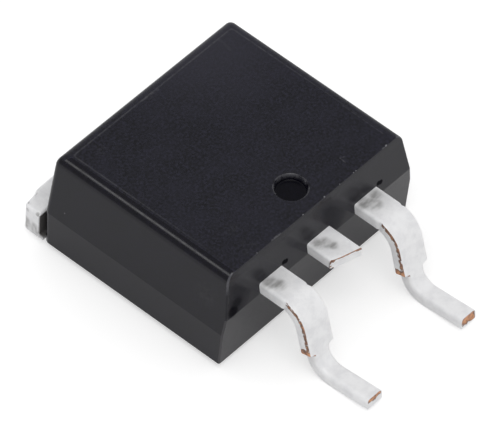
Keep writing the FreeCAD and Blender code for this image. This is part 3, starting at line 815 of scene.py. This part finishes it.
# wear with painted highlight, on the edges and the dimple's rim
RUB_AND_HIGHLIGHT_COLOUR = (0.075, 0.075, 0.085, 1)
SCRATCH_COLOUR = (0.10, 0.10, 0.11, 1)
CHIP_COLOUR = (0.26, 0.26, 0.28, 1)
# painted shade and painted dark reflections
PAINTED_DARK_COLOUR = (0.001, 0.001, 0.003, 1)
TIN = ((0.96, 0.96, 0.97, 1), (0.86, 0.86, 0.875, 1))
TIN_SPARKLE = (0.98, 0.98, 0.985, 1)
STAIN_COLOUR = (0.24, 0.235, 0.23, 1)
TARNISHED_COPPER = ((0.13, 0.06, 0.04, 1), (0.30, 0.16, 0.10, 1))
FRESH_COPPER = ((0.75, 0.36, 0.18, 1), (0.42, 0.20, 0.12, 1))
# painted shade and grime on the tin
SHADE_AND_GRIME_COLOUR = (0.014, 0.009, 0.006, 1)


def new_material(name):
    material = bpy.data.materials.new(name)
    material.use_nodes = True
    return material, material.node_tree, material.node_tree.nodes["Principled BSDF"]


def add(tree, kind, inputs, **settings):
    """New node. An input that is given as a socket is linked, any other is set."""
    node = tree.nodes.new(kind)
    for key, setting in settings.items():
        setattr(node, key, setting)
    for key, given in inputs.items():
        if isinstance(given, bpy.types.NodeSocket):
            tree.links.new(given, node.inputs[key])
        else:
            node.inputs[key].default_value = given
    return node


def vector(tree, operation, inputs):
    return add(tree, "ShaderNodeVectorMath", inputs, operation=operation).outputs


def millimetres(tree):
    """Place on the piece, in millimetres."""
    coordinates = tree.nodes.new("ShaderNodeTexCoord")
    return vector(tree, "SCALE", {0: coordinates.outputs["Object"], "Scale": 1 / MM})[0]


def grain(tree, place, scale, detail=2.0, roughness=0.5):
    settings = {"Vector": place, "Scale": scale, "Detail": detail, "Roughness": roughness}
    return add(tree, "ShaderNodeTexNoise", settings).outputs["Fac"]


def remap(tree, amount, low, high, new_low=0.0, new_high=1.0):
    settings = {"Value": amount, "From Min": low, "From Max": high,
                "To Min": new_low, "To Max": new_high}
    node = add(tree, "ShaderNodeMapRange", settings, interpolation_type="SMOOTHSTEP")
    return node.outputs["Result"]


def mix_colour(tree, amount, first, second):
    return add(tree, "ShaderNodeMix", {0: amount, 6: first, 7: second}, data_type="RGBA").outputs[2]


def combine(tree, operation, first, second):
    return add(tree, "ShaderNodeMath", {0: first, 1: second}, operation=operation).outputs[0]


def strongest(tree, amounts):
    total = amounts[0]
    for amount in amounts[1:]:
        total = combine(tree, "MAXIMUM", total, amount)
    return total


def near(tree, place, centre, radius, core=0.3):
    """1 at the centre and out to the core's share of the radius, 0 beyond the radius."""
    distance = vector(tree, "DISTANCE", {0: place, 1: centre})["Value"]
    return remap(tree, distance, radius * core, radius, 1.0, 0.0)


def near_any(tree, place, spots):
    return strongest(tree, [near(tree, place, centre, radius) for centre, radius in spots])


def near_line(tree, place, start, end, radius, strength):
    """The strength on the line between two points, 0 beyond the radius."""
    along = Vector(end) - Vector(start)
    away = vector(tree, "SUBTRACT", {0: place, 1: start})[0]
    share = vector(tree, "DOT_PRODUCT", {0: away, 1: along / along.length_squared})["Value"]
    share = add(tree, "ShaderNodeClamp", {"Value": share}).outputs[0]
    nearest = vector(tree, "SCALE", {0: along, "Scale": share})[0]
    distance = vector(tree, "DISTANCE", {0: away, 1: nearest})["Value"]
    return remap(tree, distance, radius * 0.3, radius, strength, 0.0)


def marked(tree, label):
    """What the mesh holds at each point under a label."""
    return add(tree, "ShaderNodeAttribute", {}, attribute_name=label).outputs["Fac"]


def broken_up(tree, amount, pattern, low, high, least, most):
    """The amount times a share that follows the pattern, from the least to the most."""
    return combine(tree, "MULTIPLY", amount, remap(tree, pattern, low, high, least, most))


def bump(tree, height, strength, distance):
    settings = {"Height": height, "Strength": strength, "Distance": distance * MM}
    return add(tree, "ShaderNodeBump", settings).outputs["Normal"]


def make_epoxy(name, colours, roughness, relief):
    """Filled epoxy: a fine speckle and faint clouds, then scuffs with painted reflections, a
    painted sheen on the lower front, wear with painted highlights and scratches in layers over it.
    """
    material, tree, shader = new_material(name)
    place = millimetres(tree)
    speckle = grain(tree, place, 9.0, 4.0, 0.75)
    cloud = grain(tree, place, 0.8, 4.0, 0.6)
    mottle = grain(tree, place, 3.5, 3.0, 0.6)
    dark, pale = colours
    dim = [0.35 * part for part in pale]
    paler = [1.9 * part for part in pale[:2]] + [1.45 * pale[2], 1]
    colour = mix_colour(tree, remap(tree, speckle, 0.40, 0.62), dark, pale)
    colour = mix_colour(tree, remap(tree, mottle, 0.42, 0.62, 0.0, 0.5), colour, dim)
    colour = mix_colour(tree, remap(tree, cloud, 0.35, 0.7, 0.0, 0.35), colour, pale)
    # Lighter towards the rear right of the top.
    pale_patch = combine(tree, "MULTIPLY", near(tree, place, PALE_PATCH_CENTRE, PALE_PATCH_RADIUS, 0.05), 0.65)
    colour = mix_colour(tree, pale_patch, colour, paler)

    scratched = strongest(tree, [near_line(tree, place, *scratch) for scratch in SCRATCHES])
    layers = [      # amount, pattern that breaks it up, range and share of the pattern, colour
        # scuffs, and painted reflections on the left face
        (near_any(tree, place, SCUFFS_AND_REFLECTIONS), grain(tree, place, 6.0, 4.0, 0.7),
         (0.45, 0.7, 0.0, 0.35), SCUFF_AND_REFLECTION_COLOUR),
        # painted reflection: the lighter lower front
        (marked(tree, "shade_sheen_and_grime"), grain(tree, place, 1.5, 3.0), (0.3, 0.7, 0.8, 1.0), SHEEN_COLOUR),
        # wear with painted highlights, where the mesh marks them
        (marked(tree, "wear_and_highlight"), grain(tree, place, 7.0, 3.0), (0.3, 0.6, 0.3, 0.9), RUB_AND_HIGHLIGHT_COLOUR),
        (scratched, grain(tree, place, 12.0, 2.0), (0.35, 0.6, 0.2, 0.8), SCRATCH_COLOUR),
    ]
    for amount, pattern, shares, layer_colour in layers:
        colour = mix_colour(tree, broken_up(tree, amount, pattern, *shares), colour, layer_colour)

    chipped = near_any(tree, place, CHIPS)
    colour = mix_colour(tree, combine(tree, "MULTIPLY", chipped, 0.7), colour, CHIP_COLOUR)
    # Painted shade in the dimple and beside the leads, and painted dark reflections near the
    # front-left corner, with less shine there too.
    painted_dark = strongest(tree, [
        combine(tree, "MULTIPLY", near(tree, place, centre, radius, core), depth)
        for centre, radius, core, depth in PAINTED_DARK_SPOTS
    ])
    painted_dark = combine(tree, "MULTIPLY", painted_dark, combine(tree, "SUBTRACT", 1.0, chipped))
    colour = mix_colour(tree, painted_dark, colour, PAINTED_DARK_COLOUR)

    rough = remap(tree, grain(tree, place, 5.0), 0.3, 0.7, roughness - 0.04, roughness + 0.04)
    tree.links.new(colour, shader.inputs["Base Color"])
    tree.links.new(rough, shader.inputs["Roughness"])
    tree.links.new(remap(tree, painted_dark, 0.0, 1.0, 0.5, 0.03), shader.inputs["Specular IOR Level"])
    tree.links.new(bump(tree, speckle, relief, 0.012), shader.inputs["Normal"])
    return material


def make_tin():
    """Matte tin over copper, with bare copper, stains, and painted shade and grime where the mesh
    marks them.
    """
    material, tree, shader = new_material("tinned_copper")
    place = millimetres(tree)
    bare = marked(tree, "wear_and_highlight")
    shade_sheen_and_grime = marked(tree, "shade_sheen_and_grime")
    mottle = grain(tree, place, 2.2, 4.0, 0.6)
    fine = grain(tree, place, 14.0, 2.0)
    streaks = vector(tree, "MULTIPLY", {0: place, 1: (0.7, 1.9, 1.0)})[0]
    tin = mix_colour(tree, remap(tree, mottle, 0.35, 0.68), *TIN)
    tin = mix_colour(tree, remap(tree, fine, 0.55, 0.75, 0.0, 0.3), tin, TIN_SPARKLE)
    patchy = broken_up(tree, near_any(tree, place, STAINS), grain(tree, streaks, 2.6, 3.0),
                       0.3, 0.7, 0.35, 1.0)
    tin = mix_colour(tree, combine(tree, "MULTIPLY", patchy, 0.8), tin, STAIN_COLOUR)

    ragged = remap(tree, grain(tree, place, 9.0, 2.0), 0.2, 0.8, -0.3, 0.3)
    ragged = combine(tree, "ADD", bare, ragged)
    tarnish = mix_colour(tree, remap(tree, grain(tree, place, 7.0, 3.0), 0.35, 0.65),
                         *TARNISHED_COPPER)
    fresh = mix_colour(tree, remap(tree, grain(tree, place, 6.0, 3.0), 0.35, 0.65), *FRESH_COPPER)
    copper = mix_colour(tree, remap(tree, ragged, 0.75, 0.95), tarnish, fresh)
    colour = mix_colour(tree, remap(tree, ragged, 0.45, 0.55), tin, copper)
    # Painted shade and grime where the mesh marks them.
    colour = mix_colour(tree, combine(tree, "MULTIPLY", shade_sheen_and_grime, 0.9), colour, SHADE_AND_GRIME_COLOUR)

    shader.inputs["Metallic"].default_value = 0.06
    tree.links.new(colour, shader.inputs["Base Color"])
    tree.links.new(remap(tree, mottle, 0.3, 0.7, 0.34, 0.48), shader.inputs["Roughness"])
    tree.links.new(bump(tree, mottle, 0.25, 0.04), shader.inputs["Normal"])
    return material


INNER_FINISHES = [  # node, name, pale and dark colour, metallic, roughness, scale of the mottle
    ("diode_die", "sawn_silicon", (0.28, 0.29, 0.34, 1), (0.2, 0.21, 0.25, 1), 0.6, 0.35, 3.0),
    ("die_solder", "dull_solder", (0.6, 0.6, 0.6, 1), (0.45, 0.45, 0.46, 1), 0.9, 0.5, 5.0),
    ("bond_wire", "drawn_aluminium", (0.86, 0.86, 0.87, 1), (0.75, 0.75, 0.77, 1), 1.0, 0.35, 8.0),
]


def make_inner_finish(name, pale, dark, metallic, roughness, scale):
    """Finish of a piece inside the moulding."""
    material, tree, shader = new_material(name)
    place = millimetres(tree)
    cloud = grain(tree, place, scale, 3.0)
    colour = mix_colour(tree, remap(tree, cloud, 0.3, 0.7), pale, dark)
    rough = remap(tree, cloud, 0.3, 0.7, roughness - 0.08, roughness + 0.08)
    shader.inputs["Metallic"].default_value = metallic
    tree.links.new(colour, shader.inputs["Base Color"])
    tree.links.new(rough, shader.inputs["Roughness"])
    tree.links.new(bump(tree, grain(tree, place, 4 * scale), 0.2, 0.01), shader.inputs["Normal"])
    return material


def finish_inner_nodes():
    for node, *settings in INNER_FINISHES:
        material = make_inner_finish(*settings)
        for word in ("left", "right"):
            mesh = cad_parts[f"{node}_{word}"].data
            mesh.materials.clear()
            mesh.materials.append(material)


def finish_mould(piece):
    """Satin walls. The top, the far edges and the front edge are matte."""
    piece.data.materials.append(make_epoxy("satin_epoxy", SATIN_EPOXY, 0.20, 0.05))
    piece.data.materials.append(make_epoxy("matte_epoxy", MATTE_EPOXY, 0.42, 0.40))
    for face in piece.data.polygons:
        x, y, z = face.center / MM
        on_top = face.normal.z > 0.97 and z > TOP_Z - 0.03
        on_far_edge = face.normal.z > 0.75 and (x > FAR_EDGE_X or y > REAR_Y - FAR_EDGE_DEPTH)
        on_front_edge = z > TOP_Z - 0.04 and y < FRONT_Y + FRONT_TOP_SETBACK + 0.04
        if on_top or on_far_edge or on_front_edge:
            face.material_index = 1
        face.use_smooth = face.normal.z < 0.9999    # the level top is shaded flat


# Scene

def make_camera():
    back = Vector((math.sin(CAMERA_AZIMUTH) * math.cos(CAMERA_ELEVATION),
                   -math.cos(CAMERA_AZIMUTH) * math.cos(CAMERA_ELEVATION),
                   math.sin(CAMERA_ELEVATION)))
    level = Vector((0, 0, 1)).cross(back).normalized()
    upright = back.cross(level)
    right = math.cos(CAMERA_ROLL) * level + math.sin(CAMERA_ROLL) * upright
    up = math.cos(CAMERA_ROLL) * upright - math.sin(CAMERA_ROLL) * level
    data = bpy.data.cameras.new("camera")
    data.sensor_fit = "HORIZONTAL"
    data.lens = FOCAL_PIXELS / PHOTO_WIDTH * data.sensor_width
    data.clip_start = 0.005
    data.clip_end = 20
    camera = bpy.data.objects.new("camera", data)
    bpy.context.scene.collection.objects.link(camera)
    place = (CAMERA_TARGET + back * CAMERA_DISTANCE) * MM
    turn = Matrix((right, up, back)).transposed().to_4x4()
    camera.matrix_world = Matrix.Translation(place) @ turn
    bpy.context.scene.camera = camera


def seen_directly(tree):
    """1 for the rays that show a background: camera, glossy and transmission rays."""
    path = tree.nodes.new("ShaderNodeLightPath").outputs
    shown = combine(tree, "MAXIMUM", path["Is Camera Ray"], path["Is Glossy Ray"])
    return combine(tree, "MAXIMUM", shown, path["Is Transmission Ray"])


def make_world(level, ceiling, panel):
    """White walls low down, a darker ceiling and one small panel of light.

    A camera sees white everywhere, and diffuse light comes evenly from all round.
    """
    world = bpy.data.worlds.new("studio")
    world.use_nodes = True
    tree = world.node_tree
    background = tree.nodes["Background"]
    background.inputs["Color"].default_value = (1, 1, 1, 1)
    direction = tree.nodes.new("ShaderNodeTexCoord").outputs["Generated"]
    height = add(tree, "ShaderNodeSeparateXYZ", {0: direction}).outputs["Z"]
    room = remap(tree, height, 0.0, WALL_TOP, WALL_LEVEL, ceiling)
    towards = vector(tree, "DOT_PRODUCT", {0: direction, 1: Vector(PANEL_DIRECTION).normalized()})
    edge, full = (math.cos(math.radians(angle)) for angle in PANEL_CONE)
    room = combine(tree, "ADD", room, remap(tree, towards["Value"], edge, full, 0.0, panel))
    path = tree.nodes.new("ShaderNodeLightPath").outputs
    room = combine(tree, "MAXIMUM", room, path["Is Camera Ray"])
    inputs = {0: seen_directly(tree), 2: level, 3: room}
    shown = add(tree, "ShaderNodeMix", inputs, data_type="FLOAT").outputs[0]
    tree.links.new(shown, background.inputs["Strength"])
    bpy.context.scene.world = world


def make_floor():
    shell = Shell()
    half = FLOOR_HALF_WIDTH
    ring = shell.ring([(-half, -half, 0), (half, -half, 0), (half, half, 0), (-half, half, 0)])
    shell.faces.append(tuple(ring))
    floor = shell.make("floor", 30)
    material, tree, shader = new_material("pale_floor")
    path = tree.nodes.new("ShaderNodeLightPath").outputs
    colour = mix_colour(tree, path["Is Glossy Ray"], (0.75, 0.75, 0.75, 1), (0.68, 0.68, 0.68, 1))
    tree.links.new(colour, shader.inputs["Base Color"])
    glow = combine(tree, "ADD", combine(tree, "MULTIPLY", path["Is Camera Ray"], 0.45),
                   combine(tree, "MULTIPLY", path["Is Glossy Ray"], 0.05))
    shader.inputs["Roughness"].default_value = 0.9
    shader.inputs["Specular IOR Level"].default_value = 0.0
    shader.inputs["Emission Color"].default_value = (1, 1, 1, 1)
    tree.links.new(glow, shader.inputs["Emission Strength"])
    floor.data.materials.append(material)


def make_lamp(name, direction, distance, size, power):
    data = bpy.data.lights.new(name, "AREA")
    data.shape = "DISK"
    data.size = size * MM
    data.energy = power
    lamp = bpy.data.objects.new(name, data)
    bpy.context.scene.collection.objects.link(lamp)
    place = Vector(direction).normalized() * distance * MM
    turn = place.to_track_quat("Z", "Y").to_matrix().to_4x4()
    lamp.matrix_world = Matrix.Translation(place) @ turn


mould = make_mould()
finish_mould(mould)
tin = make_tin()
for lead in (make_lead("lead_finish_left", "anode_lead_left", -1, 1.7),
             make_lead("lead_finish_right", "anode_lead_right", 1, 6.3)):
    lead.data.materials.append(tin)
heat_sink = make_heat_sink()
heat_sink.data.materials.append(tin)
finish_inner_nodes()

make_camera()
make_world(0.78, 0.3, 2.4)
make_floor()
make_lamp("fill", (-0.25, -0.3, 0.92), 220, 150, 0.08)

bpy.context.scene.view_settings.view_transform = "Standard"
